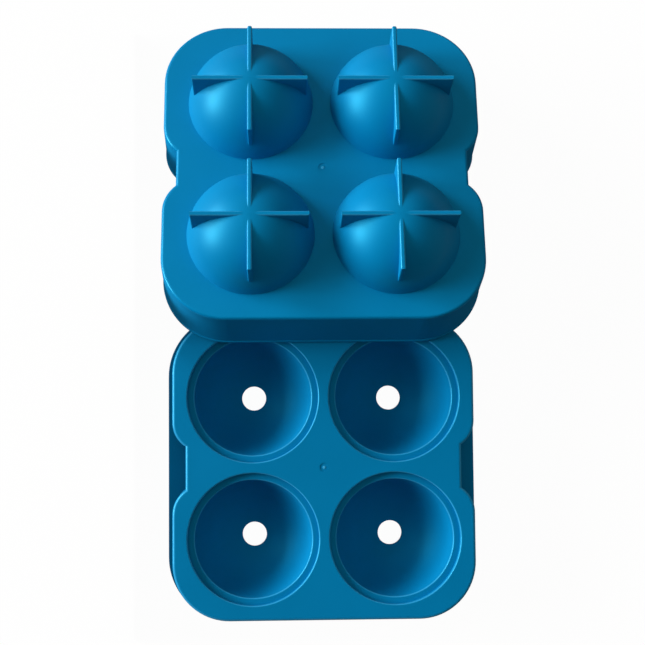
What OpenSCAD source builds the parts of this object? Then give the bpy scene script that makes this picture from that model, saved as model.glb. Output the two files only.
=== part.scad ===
// Ice ball mould for four balls, in two moulded halves: a base tray with four
// cups, and a fill lid with four domed cavities and a fill hole in each.
// Both halves are shown taken apart and upside down. The lid lies on its rim
// flange and the tray leans on it, with its rear rim on the table.
// The origin is on the table, under the middle of the two halves together.

/* [Ice balls] */
// Diameter of each ice ball
ball_d = 46.4; // [40:0.2:54]
// Diameter of the fill hole over each ball
fill_d = 10; // [6:0.5:14]

/* [Walls] */
// Wall thickness of plates, cups and skirts
wall = 1.8; // [1.4:0.1:2.2]
// Draft of the skirts, in degrees
draft = 2; // [1:0.5:4]
// Radius where a plate turns into its skirt
edge_r = 1.2; // [0.9:0.1:1.4]
// Radius on the edges of the rims
rim_r = 0.4; // [0.2:0.05:0.4]
// Radius on the lips of seats and cavities and on the edges of the feet
lip_r = 0.55; // [0.4:0.05:0.7]

/* [Seats between the halves] */
// Width of the ledge round each cavity in the lid
ledge_w = 2.7; // [2:0.1:4]
// Thickness of the wall round a seat
seat_wall = 1.5; // [1.2:0.1:1.9]
// Depth of the ledge under the lid's plate
seat_depth = 2.6; // [2:0.1:4]
// Gap between a collar of the tray and its seat in the lid
seat_gap = 0.3; // [0.2:0.05:0.5]
// Height that the collars hold the lid's plate off the tray's plate
plate_gap = 0.2; // [0.1:0.05:0.5]
// Gap between the lid's skirt and the tray's skirt
nest_gap = 0.7; // [0.4:0.1:1.2]

/* [Plates] */
// Width of the web between two neighbouring seats
web = 4.2; // [4:0.2:12]
// Width of the plate outside the seats
margin = 5.9; // [4:0.1:10]
// Corner radius of the lid's plate
corner_r = 22.5; // [18:0.5:26]

/* [Finger notches] */
// Depth of the notch in each side
notch_depth = 5.2; // [3:0.1:6.5]
// Length of the straight floor of a notch
notch_floor = 17; // [12:0.5:20]
// Radius of the round shoulders beside a notch in the lid
shoulder_r = 11.5; // [10:0.5:13]

/* [Rims] */
// Width of the flange round the lid's rim
flange_w = 2.8; // [1.5:0.1:4]
// Thickness of that flange
flange_t = 1.6; // [1.2:0.1:2.2]
// Gap for the fingers under the flange when the mould is shut
finger_gap = 2; // [1:0.5:4]
// Width of the bead round the tray's rim
bead_w = 0.4; // [0.2:0.1:0.8]
// Height of that bead
bead_h = 1.5; // [1.2:0.1:2.5]

/* [Feet] */
// Length of each foot fin across a cup
fin_l = 44.2; // [36:0.2:46]
// Thickness of a foot fin
fin_t = 1.8; // [1:0.1:2.5]
// Depth of the fins' upper edges below the crown of the cup
fin_drop = 0.1; // [0.05:0.05:0.5]

/* [Leaning tray] */
// Angle round its front corners at which the tray's rim touches the lid's edge
touch_turn = 31; // [20:1:45]
// Gap between the rim and the lid there
lean_gap = 0.05; // [0.02:0.01:0.2]

/* [Gate marks] */
// Diameter of the shallow dimple in the middle of each plate
gate_d = 3.4; // [2:0.2:6]
// Depth of that dimple
gate_t = 0.2; // [0.1:0.05:0.4]
// Diameter of the stub of the moulding gate inside it
stub_d = 0.9; // [0.6:0.1:1.5]

/* [Hidden] */
$fn = 96;
lid_colour = "#006EA5";
tray_colour = "#0077AC";

// Steps in each small rounding and in each arc that lies hidden in a wall
round_steps = 6;
hidden_steps = 12;
// How far a cutter reaches past the face that it opens
past = 1;

// Ball, cup and seat
ball_r = ball_d / 2;
cup_r = ball_r + wall;
seat_r = ball_r + ledge_w;
collar_r = seat_r - seat_gap;
collar_h = seat_depth + plate_gap;
half_pitch = seat_r + web / 2;

// Lid, measured down from its mating face
lid_half = half_pitch + seat_r + margin;
lid_h = seat_depth + cup_r;

// Tray, measured down from the outer face of its plate
nest = nest_gap + wall;
tray_half = lid_half + nest;
mouth_z = -(wall + collar_h);
tray_h = lid_h - flange_t - finger_gap + wall + plate_gap;
fin_top = cup_r + mouth_z - fin_drop;

// Radius on the edges of the fins, which leaves a third of their top flat
fin_r = min(lip_r, fin_t / 3);

// Skirts: how far a wall leans out over a height, its level thickness, where the
// rounded edge ends on the plate, and how far in a skirt's section takes in the
// plate. The plate's own edge lies between the rounded edge and the wall's inside.
function lean(h) = h * tan(draft);
wall_level = wall / cos(draft);
edge_x = edge_r * (sin(draft) - 1) / cos(draft);
strip_w = 2 * wall;
plate_in = (wall_level - lean(wall) - edge_x) / 2;

// Leaning tray: its rear rim stands on the table, and the inner edge of its rim
// touches the rounded rear corners of the lid. touch_y is how far the two places
// lie from the tray's middle. The tray's own place is measured from the lid's middle.
rim_out = tray_half + lean(tray_h) + bead_w;
rim_in = tray_half + lean(tray_h) - wall_level + rim_r;
corner_c = lid_half - corner_r;
touch_x = (rim_in - corner_c) * sin(touch_turn);
touch_y = (rim_in - corner_c) * cos(touch_turn) + corner_c;
tilt = asin((lid_h + lean_gap) / (rim_out - rim_r + touch_y));
tray_y = corner_c + sqrt((corner_r + edge_x) ^ 2 - touch_x ^ 2)
    + touch_y * cos(tilt) + tray_h * sin(tilt);
tray_z = (rim_out - rim_r) * sin(tilt) + (tray_h - rim_r) * cos(tilt) + rim_r;

// Place of the lid's middle, so that the two halves reach as far to the front
// as to the rear
flange_out = lean(lid_h) + flange_w;
front_reach = lid_half + flange_out;
rear_reach = tray_y + (tray_half + edge_x) * cos(tilt) + edge_r * (1 - sin(tilt));
lid_y = (front_reach - rear_reach) / 2;

// Points on an arc about c, from angle a to angle b
function arc(c, r, a, b, steps) =
    [for (i = [0:steps]) let (t = a + (b - a) * i / steps) c + r * [cos(t), sin(t)]];

// Centres of the arcs in one quarter of the outline: a shoulder beside the
// notch, and a corner
shoulder_at = [lid_half - shoulder_r,
    notch_floor / 2 + sqrt(2 * shoulder_r * notch_depth - notch_depth ^ 2)];
corner_at = [corner_c, corner_c];

// Angle that a shoulder of radius r turns before it meets the notch's floor
function shoulder_turn(r) =
    acos((r - notch_depth) / r);

// One quarter of the outline, grown outwards by g from the lid's plate
function quarter(g) = concat(
    arc(shoulder_at, shoulder_r + g, -shoulder_turn(shoulder_r + g), 0, hidden_steps),
    arc(corner_at, corner_r + g, 0, 90, hidden_steps));

// The points of a list in reverse order, scaled by s
function flipped(pts, s) =
    [for (i = [len(pts) - 1:-1:0]) [pts[i].x * s.x, pts[i].y * s.y]];
function scaled(pts, s) = [for (p = pts) [p.x * s.x, p.y * s.y]];

// The whole outline, grown by g
function outline(g) = concat(quarter(g), flipped(quarter(g), [-1, 1]),
    scaled(quarter(g), [-1, -1]), flipped(quarter(g), [1, -1]));

// Section of a skirt: x is outwards from the plate's edge, y is up
module skirt_section(h, foot) {
    polygon(concat(
        [[-strip_w, -wall], [-strip_w, 0]],
        arc([edge_x, -edge_r], edge_r, 90, draft, round_steps),
        foot,
        arc([lean(h) - wall_level + rim_r, rim_r - h], rim_r, 270, 180, round_steps),
        [[lean(wall) - wall_level, -wall]]));
}

// Foot of the tray's skirt, with a bead outside
module tray_section() {
    out = lean(tray_h) + bead_w;
    skirt_section(tray_h, concat(
        [[lean(tray_h - bead_h), bead_h - tray_h]],
        arc([out - rim_r, bead_h - tray_h - rim_r], rim_r, 90, 0, round_steps),
        arc([out - rim_r, rim_r - tray_h], rim_r, 0, -90, round_steps)));
}

// Outer edge of the lid's flange, from its upper face round to its lower face
flange_edge = concat(
    arc([flange_out - rim_r, flange_t - rim_r - lid_h], rim_r, 90, 0, round_steps),
    arc([flange_out - rim_r, rim_r - lid_h], rim_r, 0, -90, round_steps));

// Foot of the lid's skirt with its flange, and the bare foot inside a notch
module flange_section() {
    skirt_section(lid_h, concat(
        arc([lean(lid_h - flange_t) + rim_r, flange_t + rim_r - lid_h], rim_r,
            180, 270, round_steps),
        flange_edge));
}
module bare_section() {
    skirt_section(lid_h, [[lean(lid_h), -lid_h]]);
}

// Copies into the left and right half, and into the front and rear half
module left_right() {
    children();
    mirror([1, 0, 0]) children();
}
module front_rear() {
    children();
    mirror([0, 1, 0]) children();
}

// Sweeps a section along a straight side at distance x, between two places
module straight(x, from, to) {
    translate([x, to, 0]) rotate([90, 0, 0]) linear_extrude(height = to - from) children();
}

// Sweeps a section round an arc about a centre, from the right side's direction
module bend(centre, r, turn) {
    translate([centre.x, centre.y, 0])
        rotate_extrude(angle = turn) translate([r, 0]) children();
}

// Sweeps the first section round the corners and along the sides, and the
// second along the notches. g is the distance outside the lid's outline.
module skirt(g) {
    half = lid_half + g;
    inner_r = shoulder_r + g - wall;
    turn = shoulder_turn(inner_r);
    floor_end = shoulder_at.y - inner_r * sin(turn);
    left_right() front_rear() {
        bend(corner_at, corner_r + g, 90) children(0);
        straight(half, shoulder_at.y, corner_at.y) children(0);
        bend(shoulder_at, shoulder_r + g, -turn) children(1);
    }
    left_right() straight(half - notch_depth, -floor_end, floor_end) children(1);
    front_rear() rotate([0, 0, 90]) straight(half, -corner_at.x, corner_at.x) children(0);
}

// Flat plate inside the skirt, from the top face down, one wall thick
module plate(g) {
    translate([0, 0, -wall]) linear_extrude(height = wall) polygon(outline(g - plate_in));
}

// Copies to the four balls
module at_balls() {
    for (x = [-half_pitch, half_pitch], y = [-half_pitch, half_pitch])
        translate([x, y, 0]) children();
}

// Half of a ball shell's outside, domed downwards
module dome(r) {
    rotate_extrude() intersection() {
        circle(r);
        translate([0, -r]) square([r, r]);
    }
}

// Cutter that rounds the upper edge of a round opening of radius r
module lip_cut(r) {
    rotate_extrude() polygon(concat(
        [[r - past, past], [r + lip_r, past]],
        arc([r + lip_r, -lip_r], lip_r, 90, 180, round_steps),
        [[r - past, -lip_r]]));
}

// Flange across the mouth of each notch, where the lid's rim runs straight on
module notch_flange() {
    reach = shoulder_at.y;
    start = lid_half - notch_depth - strip_w;
    end = lid_half + flange_out - flange_w / 4;
    bar_in = flange_out - flange_w / 2;
    straight(lid_half, -reach, reach) polygon(concat(
        [[bar_in, -lid_h], [bar_in, flange_t - lid_h]],
        flange_edge));
    translate([0, 0, -lid_h]) linear_extrude(height = flange_t) difference() {
        translate([start, -reach]) square([end - start, 2 * reach]);
        polygon(outline(lean(lid_h) - wall / 2));
    }
}

// Cutter for the gate mark in the upper face of a plate, which leaves the stub
module gate_cut() {
    translate([0, 0, -gate_t]) difference() {
        cylinder(d = gate_d, h = gate_t + past);
        cylinder(d = stub_d, h = gate_t);
    }
}

// Lid with its mating face at z = 0 and its domes pointing down
module lid_shape() {
    difference() {
        union() {
            skirt(0) {
                flange_section();
                bare_section();
            }
            plate(0);
            left_right() notch_flange();
            at_balls() {
                translate([0, 0, -seat_depth - wall])
                    cylinder(r = seat_r + seat_wall, h = seat_depth + wall / 2);
                translate([0, 0, -seat_depth]) dome(cup_r);
            }
        }
        at_balls() {
            translate([0, 0, -seat_depth]) cylinder(r = seat_r, h = seat_depth + past);
            lip_cut(seat_r);
            translate([0, 0, -seat_depth]) {
                sphere(ball_r);
                lip_cut(ball_r);
            }
            translate([0, 0, -lid_h - past]) cylinder(d = fill_d, h = lid_h);
        }
        gate_cut();
    }
}

// Cutter that rounds one upright edge at a fin's end
module end_cut() {
    side = fin_t / 2;
    end = fin_l / 2;
    translate([0, 0, -past]) linear_extrude(height = fin_top + 2 * past) polygon(concat(
        [[side + past, end + past], [side + past, end - fin_r]],
        arc([side - fin_r, end - fin_r], fin_r, 0, 90, round_steps),
        [[side - fin_r, end + past]]));
}

// Fin that runs across a cup, with rounded edges above and at its ends
module fin() {
    difference() {
        straight(0, -fin_l / 2, fin_l / 2) polygon(concat(
            [[-fin_t / 2, 0]],
            arc([fin_r - fin_t / 2, fin_top - fin_r], fin_r, 180, 90, round_steps),
            arc([fin_t / 2 - fin_r, fin_top - fin_r], fin_r, 90, 0, round_steps),
            [[fin_t / 2, 0]]));
        left_right() front_rear() end_cut();
    }
}

// Tray with the outer face of its plate at z = 0 and its cups domed upwards
module tray_shape() {
    difference() {
        union() {
            skirt(nest) {
                tray_section();
                tray_section();
            }
            plate(nest);
            at_balls() {
                translate([0, 0, mouth_z]) cylinder(r = collar_r, h = collar_h + wall / 2);
                translate([0, 0, mouth_z]) mirror([0, 0, 1]) dome(cup_r);
                fin();
                rotate([0, 0, 90]) fin();
            }
        }
        at_balls() translate([0, 0, mouth_z]) {
            sphere(ball_r);
            mirror([0, 0, 1]) lip_cut(ball_r);
        }
        gate_cut();
    }
}

module fill_lid() {
    color(lid_colour) translate([0, lid_y, lid_h]) lid_shape();
}

module base_tray() {
    color(tray_colour) translate([0, lid_y + tray_y, tray_z])
        rotate([-tilt, 0, 0]) tray_shape();
}

base_tray();
fill_lid();
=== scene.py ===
"""Looks of an ice ball mould: a base tray with four finned cups, leaning on the fill lid.

Both halves are mouldings in one blue plastic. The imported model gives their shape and
place, in metres: +Z up, +Y from the lid towards the tray, origin under their middle.
"""

import math

import bpy
from bpy.props import FloatProperty, FloatVectorProperty, PointerProperty
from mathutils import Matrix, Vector

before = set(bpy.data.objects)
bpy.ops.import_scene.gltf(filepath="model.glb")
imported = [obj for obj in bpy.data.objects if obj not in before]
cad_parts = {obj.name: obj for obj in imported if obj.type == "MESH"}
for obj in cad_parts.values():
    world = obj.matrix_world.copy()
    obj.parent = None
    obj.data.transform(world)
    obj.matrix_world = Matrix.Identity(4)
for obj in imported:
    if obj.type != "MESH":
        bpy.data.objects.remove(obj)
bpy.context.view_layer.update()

bl_info = {
    "name": "Ice ball mould",
    "version": (1, 0, 0),
    "blender": (4, 5, 0),
    "location": "3D View > Sidebar > Ice ball mould",
    "description": "Dresses the two halves of an ice ball mould and sets up its studio",
    "category": "Object",
}

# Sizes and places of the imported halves, in metres. A face is the outer side of a plate.
LID_Y = -0.057051
LID_FACE = 0.0276
SEAT = 0.0026
FIN_TOP = 0.0203
EDGE = 0.0012
LIP = 0.00055
UPRIGHT = Vector((0, 0, 1))
# the tray leans, with the middle of its plate this far behind the lid's middle and this high
TRAY_TILT = math.radians(13.1526)
TRAY_BEHIND = 0.117202
TRAY_HEIGHT = 0.0397111
TRAY_MIDDLE = Vector((0, LID_Y + TRAY_BEHIND, TRAY_HEIGHT))
TRAY_UP = Vector((0, math.sin(TRAY_TILT), math.cos(TRAY_TILT)))

# The plastic. A shine of 0.5 is all the gloss that the index of refraction gives.
PLASTIC_IOR = 1.49
SHINE_TINT = (0.04, 0.75, 1.0, 1.0)
LID_SHINE = 0.6
TRAY_SHINE = 0.72
CLOUD_SIZE = 0.030
CLOUD_TINT = 0.035
CLOUD_LOW, CLOUD_HIGH = 0.3, 0.7
CLOUD_GLOSSIER, CLOUD_DULLER = 0.03, 0.04
SINK_SIZE = 0.018
SINK_DEPTH = 0.0004
SINK_STRENGTH = 0.25
GRAIN_DEPTH = 0.00004
GRAIN_STRENGTH = 0.12
# how far the thin lips are drawn towards the paler colour, as a painted highlight
LIP_HIGHLIGHT = 0.55
STUB_INNER, STUB_OUTER = 0.0005, 0.0007
# cosines of the slopes, about 15 and 28 degrees, at which a rounded edge starts and is full
EDGE_STARTS, EDGE_FULL = 0.965, 0.88
# how far a face is turned from the eye, from 0 to 1, where it starts to look dull and is dullest
GLANCE_STARTS, GLANCE_FULL = 0.4, 0.8

# The studio, in metres. A light has a name, a height and a bearing in degrees, and its share of
# the power. A room light also says whether the plastic mirrors it, as the low ones would grey
# the mould's dark sides.
LIT_MIDDLE = Vector((0, 0.01, 0.03))
LIGHT_DISTANCE = 4.0
PANE_WIDTH = 1.44
WALL_WIDTH = 3.84
WINDOW_LIGHTS = (("pane_left", 20, 4, 0.5), ("pane_rear", 18, 30, 0.38), ("sky", 32, 20, 0.12))
ROOM_LIGHTS = (("ceiling", 90, 0, 0.24, True), ("rear", 45, 90, 0.31, True),
               ("right", 20, 180, 0.35, False), ("front", 45, -90, 0.10, False))
FLOOR_WIDTH = 6
# how light the floor's paper is for the light that it throws back and for the camera
PAPER_BOUNCED, PAPER_SEEN = 0.18, 0.98
# how much plain white the camera sees in the floor and the room, and the plastic mirrors
FLOOR_WHITE, FLOOR_MIRRORED = 0.97, 0.03
ROOM_WHITE, ROOM_MIRRORED = 1.0, 0.05
# the net's upper edge as places along Y with their heights, two for each width of net
NET_X = -0.078
NET_TOP = ((-0.128, 0.026), (-0.002, 0.026), (-0.002, 0.052), (0.126, 0.023))
NET_SHADE = 0.8
CAMERA_PLACE = (-0.01704, -0.04118, 0.49983)
CAMERA_TURN = (0.0607, -0.0313, -0.0084)
CAMERA_SHIFT = (0.0070, 0.0504)


def linear(hex_colour):
    """Linear RGB of an sRGB hex colour such as 006EA5."""
    channels = [int(hex_colour[i:i + 2], 16) / 255 for i in (0, 2, 4)]
    return tuple(c / 12.92 if c <= 0.04045 else ((c + 0.055) / 1.055) ** 2.4
                 for c in channels)


class MouldPlasticSettings(bpy.types.PropertyGroup):
    lid_colour: FloatVectorProperty(
        name="Lid colour", description="Colour of the fill lid's plastic",
        subtype="COLOR", size=3, min=0, max=1, default=linear("0074A9"))
    tray_colour: FloatVectorProperty(
        name="Tray colour", description="Colour of the base tray's plastic",
        subtype="COLOR", size=3, min=0, max=1, default=linear("0079AF"))
    # the paler colour: on the thin lips a painted highlight for the light they catch, on the gate
    # stub the stub's own colour
    lip_highlight_and_stub_colour: FloatVectorProperty(
        name="Edge colour", description="Paler colour of the thin lips and of the torn gate stub",
        subtype="COLOR", size=3, min=0, max=1, default=linear("3CA6D6"))
    lid_roughness: FloatProperty(
        name="Lid roughness", description="Roughness of the lid's dull skin",
        subtype="FACTOR", min=0, max=1, default=0.5)
    tray_roughness: FloatProperty(
        name="Tray roughness", description="Roughness of the tray's satin skin",
        subtype="FACTOR", min=0, max=1, default=0.44)
    edge_roughness: FloatProperty(
        name="Edge roughness",
        description="Roughness of the rounded edges, where the steel is polished",
        subtype="FACTOR", min=0, max=1, default=0.27)
    glancing_roughness: FloatProperty(
        name="Glancing roughness",
        description="Roughness of the skin where it is seen nearly edge on",
        subtype="FACTOR", min=0, max=1, default=0.85)
    grain: FloatProperty(
        name="Skin grain", description="Size of the grain that the mould's etched face leaves",
        subtype="DISTANCE", unit="LENGTH", min=0.0001, max=0.002, default=0.0006)


class MouldStudioSettings(bpy.types.PropertyGroup):
    window_power: FloatProperty(
        name="Window light", description="Power of the daylight from the left",
        unit="POWER", min=0, max=500, default=280)
    room_power: FloatProperty(
        name="Room light", description="Power of the light that the room throws back",
        unit="POWER", min=0, max=500, default=82)
    room_colour: FloatVectorProperty(
        name="Room colour", description="Colour of the light that the room throws back",
        subtype="COLOR", size=3, min=0, max=1, default=(1.0, 0.97, 0.88))
    lens: FloatProperty(
        name="Focal length", description="Focal length of the camera in millimetres",
        min=10, max=200, default=66.50)


def add_node(tree, kind, settings=(), links=()):
    """Adds a node, sets its properties and inputs, and links outputs into its inputs."""
    node = tree.nodes.new(kind)
    for name, value in dict(settings).items():
        if isinstance(name, str) and hasattr(node, name):
            setattr(node, name, value)
        else:
            node.inputs[name].default_value = value
    for name, output in dict(links).items():
        tree.links.new(output, node.inputs[name])
    return node


def empty_tree(owner):
    """Gives a material or a world an empty node tree."""
    owner.use_nodes = True
    owner.node_tree.nodes.clear()
    return owner.node_tree


def band(tree, value, low, high):
    """1 where a value lies in a band, falling to 0 over a tenth of the band at each end."""
    soft = (high - low) / 10
    up = add_node(tree, "ShaderNodeMapRange", {"From Min": low - soft, "From Max": low},
                  {"Value": value})
    down = add_node(tree, "ShaderNodeMapRange", {"From Min": high + soft, "From Max": high},
                    {"Value": value})
    return add_node(tree, "ShaderNodeMath", {"operation": "MULTIPLY"},
                    {0: up.outputs["Result"], 1: down.outputs["Result"]}).outputs[0]


def rounded_edges(tree, place, up, levels):
    """1 on the rounded edges that end at given heights, measured along the piece's own up.

    levels holds the height and the radius of each edge.
    """
    height = add_node(tree, "ShaderNodeVectorMath", {"operation": "DOT_PRODUCT", 1: up},
                      {0: place}).outputs["Value"]
    normal = add_node(tree, "ShaderNodeTexCoord").outputs["Normal"]
    slope = add_node(tree, "ShaderNodeVectorMath", {"operation": "DOT_PRODUCT", 1: up},
                     {0: normal}).outputs["Value"]
    sloping = add_node(tree, "ShaderNodeMapRange", {"From Min": EDGE_STARTS, "From Max": EDGE_FULL},
                       {"Value": slope}).outputs["Result"]
    near = None
    for top, radius in levels:
        here = band(tree, height, top - radius, top)
        near = here if near is None else add_node(
            tree, "ShaderNodeMath", {"operation": "MAXIMUM"}, {0: near, 1: here}).outputs[0]
    return add_node(tree, "ShaderNodeMath", {"operation": "MULTIPLY"},
                    {0: near, 1: sloping}).outputs[0]


def moulded_polypropylene(name, colour, roughness, shine, settings, up, edges, lips, gate):
    """Satin polypropylene, injection moulded against a finely etched steel face.

    It gives the eye an even, deep colour with broad soft highlights, a faint cloudiness
    where the melt flowed, and a fine grain that breaks up the reflections. Its rounded
    edges are glossier, because the steel is polished there. Thin lips are drawn paler, a
    painted highlight for the light that catches them, and the torn stub of the gate is paler.

    edges and lips hold the heights and radii of the rounded edges along the piece's up, and
    gate is the middle of the gate stub.
    """
    material = bpy.data.materials.new(name)
    tree = empty_tree(material)
    place = add_node(tree, "ShaderNodeTexCoord").outputs["Object"]

    # flow clouds, a few percent in value
    clouds = add_node(tree, "ShaderNodeTexNoise",
                      {"Scale": 1 / CLOUD_SIZE, "Detail": 3.0, "Roughness": 0.45},
                      {"Vector": place})
    tint = add_node(tree, "ShaderNodeValToRGB", (), {"Fac": clouds.outputs["Fac"]})
    for stop, position, value in zip(tint.color_ramp.elements, (CLOUD_LOW, CLOUD_HIGH),
                                     (1 - CLOUD_TINT, 1 + CLOUD_TINT)):
        stop.position = position
        stop.color = (*[min(1, c * value) for c in colour], 1)

    # painted highlight on the thin lips, and the paler gate stub
    away = add_node(tree, "ShaderNodeVectorMath", {"operation": "DISTANCE", 1: gate}, {0: place})
    stub = add_node(tree, "ShaderNodeMapRange", {"From Min": STUB_OUTER, "From Max": STUB_INNER},
                    {"Value": away.outputs["Value"]})
    # painted highlight: the thin lips are drawn towards the paler colour for the light they catch
    thin = add_node(tree, "ShaderNodeMath", {"operation": "MULTIPLY", 1: LIP_HIGHLIGHT},
                    {0: rounded_edges(tree, place, up, lips)})
    lip_highlight_and_stub = add_node(tree, "ShaderNodeMath", {"operation": "MAXIMUM"},
                    {0: thin.outputs[0], 1: stub.outputs["Result"]})
    skin_colour = add_node(tree, "ShaderNodeMix",
                           {"data_type": "RGBA", 7: (*settings.lip_highlight_and_stub_colour, 1)},
                           {0: lip_highlight_and_stub.outputs[0], 6: tint.outputs["Color"]})

    # the skin is a little glossier where the melt packed hardest, and much glossier on the
    # rounded edges
    dull = add_node(tree, "ShaderNodeMapRange",
                    {"From Min": CLOUD_LOW, "From Max": CLOUD_HIGH,
                     "To Min": roughness - CLOUD_GLOSSIER, "To Max": roughness + CLOUD_DULLER},
                    {"Value": clouds.outputs["Fac"]})
    polished = rounded_edges(tree, place, up, edges)
    gloss = add_node(tree, "ShaderNodeMix", {"data_type": "FLOAT", 3: settings.edge_roughness},
                     {0: polished, 2: dull.outputs["Result"]})
    # at a glancing view the etched skin shades its own grain, and mirrors the lights only dimly
    facing = add_node(tree, "ShaderNodeLayerWeight", {"Blend": 0.5}).outputs["Facing"]
    glancing = add_node(tree, "ShaderNodeMapRange",
                        {"From Min": GLANCE_STARTS, "From Max": GLANCE_FULL}, {"Value": facing})
    skin_gloss = add_node(tree, "ShaderNodeMix",
                          {"data_type": "FLOAT", 3: settings.glancing_roughness},
                          {0: glancing.outputs["Result"], 2: gloss.outputs[0]})

    # etched grain, drawn several times coarser than the real 0.1 mm so that it shows
    etched = add_node(tree, "ShaderNodeTexNoise",
                      {"Scale": 1 / settings.grain, "Detail": 2.0, "Roughness": 0.5},
                      {"Vector": place})
    # long soft waves, where the walls have sunk a little
    sink = add_node(tree, "ShaderNodeTexNoise",
                    {"Scale": 1 / SINK_SIZE, "Detail": 1.0, "Roughness": 0.4}, {"Vector": place})
    waves = add_node(tree, "ShaderNodeBump", {"Strength": SINK_STRENGTH, "Distance": SINK_DEPTH},
                     {"Height": sink.outputs["Fac"]})
    # the polished edges have no grain
    depth = add_node(tree, "ShaderNodeMapRange", {"To Min": GRAIN_STRENGTH, "To Max": 0.0},
                     {"Value": polished})
    skin = add_node(tree, "ShaderNodeBump", {"Distance": GRAIN_DEPTH},
                    {"Strength": depth.outputs["Result"], "Height": etched.outputs["Fac"],
                     "Normal": waves.outputs["Normal"]})

    plastic = add_node(tree, "ShaderNodeBsdfPrincipled",
                       {"IOR": PLASTIC_IOR, "Specular IOR Level": shine,
                        "Specular Tint": SHINE_TINT},
                       {"Base Color": skin_colour.outputs[2], "Roughness": skin_gloss.outputs[0],
                        "Normal": skin.outputs["Normal"]})
    add_node(tree, "ShaderNodeOutputMaterial", (), {"Surface": plastic.outputs["BSDF"]})
    return material


def dress(node, material):
    """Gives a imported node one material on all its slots."""
    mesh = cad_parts[node].data
    mesh.materials.clear()
    mesh.materials.append(material)


class MOULD_OT_fill_lid(bpy.types.Operator):
    """Dress the fill lid: dull blue plastic"""
    bl_idname = "mould.fill_lid"
    bl_label = "Fill lid"

    def execute(self, context):
        plastic = context.scene.mould_plastic
        dress("fill_lid", moulded_polypropylene(
            "polypropylene_moulded_dull", plastic.lid_colour, plastic.lid_roughness, LID_SHINE,
            plastic, UPRIGHT,
            edges=((LID_FACE, EDGE), (LID_FACE - SEAT, LIP)),
            lips=((LID_FACE, LIP), (LID_FACE - SEAT, LIP)),
            gate=Vector((0, LID_Y, LID_FACE))))
        return {"FINISHED"}


class MOULD_OT_base_tray(bpy.types.Operator):
    """Dress the base tray: satin blue plastic"""
    bl_idname = "mould.base_tray"
    bl_label = "Base tray"

    def execute(self, context):
        plastic = context.scene.mould_plastic
        face = TRAY_MIDDLE.dot(TRAY_UP)
        dress("base_tray", moulded_polypropylene(
            "polypropylene_moulded_satin", plastic.tray_colour, plastic.tray_roughness, TRAY_SHINE,
            plastic, TRAY_UP,
            edges=((face, EDGE), (face + FIN_TOP, LIP)),
            lips=((face + FIN_TOP, LIP),),
            gate=TRAY_MIDDLE))
        return {"FINISHED"}


def white_backdrop(tree, seen, mirrored, lit):
    """Mixes a lit shader with plain white, by one share for camera rays and another for
    glossy and transmitted rays."""
    path = add_node(tree, "ShaderNodeLightPath")
    direct = add_node(tree, "ShaderNodeMath", {"operation": "MULTIPLY", 1: seen},
                      {0: path.outputs["Is Camera Ray"]})
    bounced = add_node(tree, "ShaderNodeMath", {"operation": "MAXIMUM"},
                       {0: path.outputs["Is Glossy Ray"], 1: path.outputs["Is Transmission Ray"]})
    share = add_node(tree, "ShaderNodeMath", {"operation": "MULTIPLY_ADD", 1: mirrored},
                     {0: bounced.outputs[0], 2: direct.outputs[0]})
    white = add_node(tree, "ShaderNodeEmission", {"Color": (1, 1, 1, 1), "Strength": 1.0})
    return add_node(tree, "ShaderNodeMixShader", (),
                    {0: share.outputs[0], 1: lit, 2: white.outputs[0]}).outputs[0]


def soft_box(name, height, bearing, width, power, colour):
    """Adds a soft box that faces the mould. Its height and bearing are in degrees, the
    bearing turned from the left towards the rear."""
    height, bearing = math.radians(height), math.radians(bearing)
    towards = Vector((-math.cos(height) * math.cos(bearing),
                      math.cos(height) * math.sin(bearing),
                      math.sin(height)))
    bpy.ops.object.light_add(type="AREA", location=LIT_MIDDLE + LIGHT_DISTANCE * towards)
    box = bpy.context.object
    box.name = name
    box.data.shape = "SQUARE"
    box.data.size = width
    box.data.energy = power
    box.data.color = colour
    box.rotation_euler = (-towards).to_track_quat("-Z", "Y").to_euler()
    return box


def matt_paper():
    """White paper for the camera, and grey paper for the light that it throws back.

    It is clear from below, for views from there.
    """
    material = bpy.data.materials.new("matt_paper_floor")
    tree = empty_tree(material)
    camera_ray = add_node(tree, "ShaderNodeLightPath").outputs["Is Camera Ray"]
    tone = add_node(tree, "ShaderNodeMapRange", {"To Min": PAPER_BOUNCED, "To Max": PAPER_SEEN},
                    {"Value": camera_ray})
    matt = add_node(tree, "ShaderNodeBsdfDiffuse", (), {"Color": tone.outputs["Result"]})
    above = white_backdrop(tree, FLOOR_WHITE, FLOOR_MIRRORED, matt.outputs[0])
    clear = add_node(tree, "ShaderNodeBsdfTransparent")
    side = add_node(tree, "ShaderNodeNewGeometry")
    sheet = add_node(tree, "ShaderNodeMixShader", (),
                     {0: side.outputs["Backfacing"], 1: above, 2: clear.outputs[0]})
    add_node(tree, "ShaderNodeOutputMaterial", (), {"Surface": sheet.outputs[0]})
    return material


def black_gauze():
    """Net of black thread, which lets a fifth of the light through its gaps."""
    material = bpy.data.materials.new("black_net_gauze")
    tree = empty_tree(material)
    thread = add_node(tree, "ShaderNodeBsdfDiffuse", {"Color": (0.01, 0.01, 0.01, 1)})
    gap = add_node(tree, "ShaderNodeBsdfTransparent")
    woven = add_node(tree, "ShaderNodeMixShader", {0: NET_SHADE},
                     {1: gap.outputs[0], 2: thread.outputs[0]})
    add_node(tree, "ShaderNodeOutputMaterial", (), {"Surface": woven.outputs[0]})
    return material


def lay_floor():
    """Lays a sheet of paper under the mould."""
    bpy.ops.object.select_all(action="DESELECT")
    bpy.ops.mesh.primitive_plane_add(size=FLOOR_WIDTH, location=(0, 0, 0))
    floor = bpy.context.object
    floor.name = "studio_floor"
    floor.data.materials.append(matt_paper())


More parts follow.
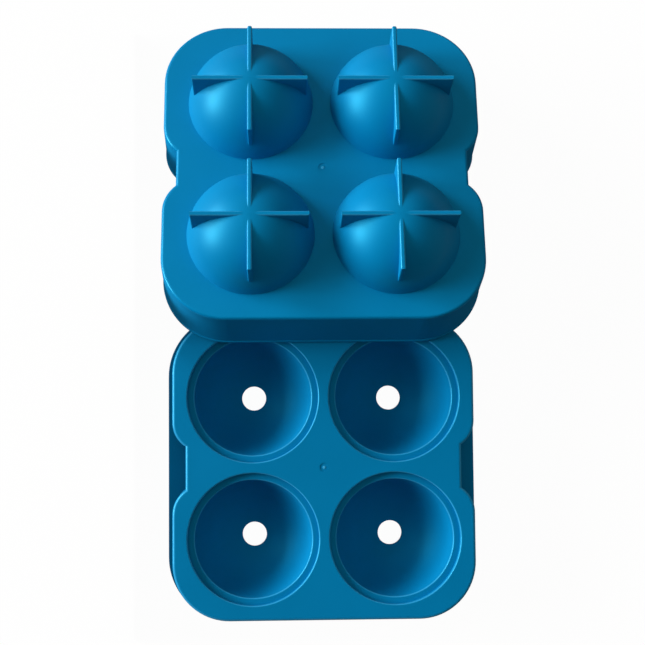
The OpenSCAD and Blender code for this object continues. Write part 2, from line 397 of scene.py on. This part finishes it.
def hang_net():
    """Hangs a black net beside the mould, one width beside each half.

    It keeps most of the low daylight off the mould's left walls, and the camera doesn't
    see it.
    """
    net = bpy.data.objects.new("black_net", bpy.data.meshes.new("black_net"))
    bpy.context.collection.objects.link(net)
    foot = [(NET_X, y, 0) for y, z in NET_TOP]
    top = [(NET_X, y, z) for y, z in NET_TOP]
    net.data.from_pydata(foot + top, [], [(i, i + 1, i + 5, i + 4) for i in (0, 2)])
    net.visible_camera = False
    net.data.materials.append(black_gauze())


def white_room():
    """A room that is white to the camera, is mirrored faintly and gives no light."""
    world = bpy.data.worlds.new("studio_room")
    tree = empty_tree(world)
    dark = add_node(tree, "ShaderNodeBackground", {"Color": (1, 1, 1, 1), "Strength": 0.0})
    room = white_backdrop(tree, ROOM_WHITE, ROOM_MIRRORED, dark.outputs[0])
    add_node(tree, "ShaderNodeOutputWorld", (), {"Surface": room})
    return world


class MOULD_OT_studio(bpy.types.Operator):
    """Set up the floor, the net, the lights and the camera"""
    bl_idname = "mould.studio"
    bl_label = "Studio"

    def execute(self, context):
        studio = context.scene.mould_studio
        scene = context.scene
        scene.view_settings.view_transform = "Standard"
        lay_floor()
        hang_net()
        scene.world = white_room()

        # daylight from the left, through two panes and from the sky above them
        for name, height, bearing, share in WINDOW_LIGHTS:
            soft_box(f"window_{name}", height, bearing, PANE_WIDTH, studio.window_power * share,
                     (1, 1, 1))
        # what the room throws back
        for name, height, bearing, share, mirrored in ROOM_LIGHTS:
            box = soft_box(f"room_{name}", height, bearing, WALL_WIDTH, studio.room_power * share,
                           studio.room_colour)
            box.visible_glossy = mirrored

        # camera
        bpy.ops.object.camera_add(location=CAMERA_PLACE, rotation=CAMERA_TURN)
        camera = context.object
        camera.name = "camera"
        camera.data.sensor_width = 36
        camera.data.lens = studio.lens
        camera.data.shift_x, camera.data.shift_y = CAMERA_SHIFT
        camera.data.clip_start = 0.01
        scene.camera = camera
        return {"FINISHED"}


class MOULD_PT_sidebar(bpy.types.Panel):
    bl_idname = "MOULD_PT_sidebar"
    bl_label = "Ice ball mould"
    bl_space_type = "VIEW_3D"
    bl_region_type = "UI"
    bl_category = "Ice ball mould"

    def draw(self, context):
        for group in (context.scene.mould_plastic, context.scene.mould_studio):
            box = self.layout.box()
            for name in group.__annotations__:
                box.prop(group, name)
        for operator in OPERATORS:
            self.layout.operator(operator.bl_idname)


OPERATORS = (MOULD_OT_fill_lid, MOULD_OT_base_tray, MOULD_OT_studio)
CLASSES = (MouldPlasticSettings, MouldStudioSettings, *OPERATORS, MOULD_PT_sidebar)


def register():
    for c in CLASSES:
        bpy.utils.register_class(c)
    bpy.types.Scene.mould_plastic = PointerProperty(type=MouldPlasticSettings)
    bpy.types.Scene.mould_studio = PointerProperty(type=MouldStudioSettings)


def unregister():
    del bpy.types.Scene.mould_studio
    del bpy.types.Scene.mould_plastic
    for c in reversed(CLASSES):
        bpy.utils.unregister_class(c)


def main():
    register()
    bpy.ops.mould.fill_lid()
    bpy.ops.mould.base_tray()
    bpy.ops.mould.studio()


if __name__ == "__main__":
    main()
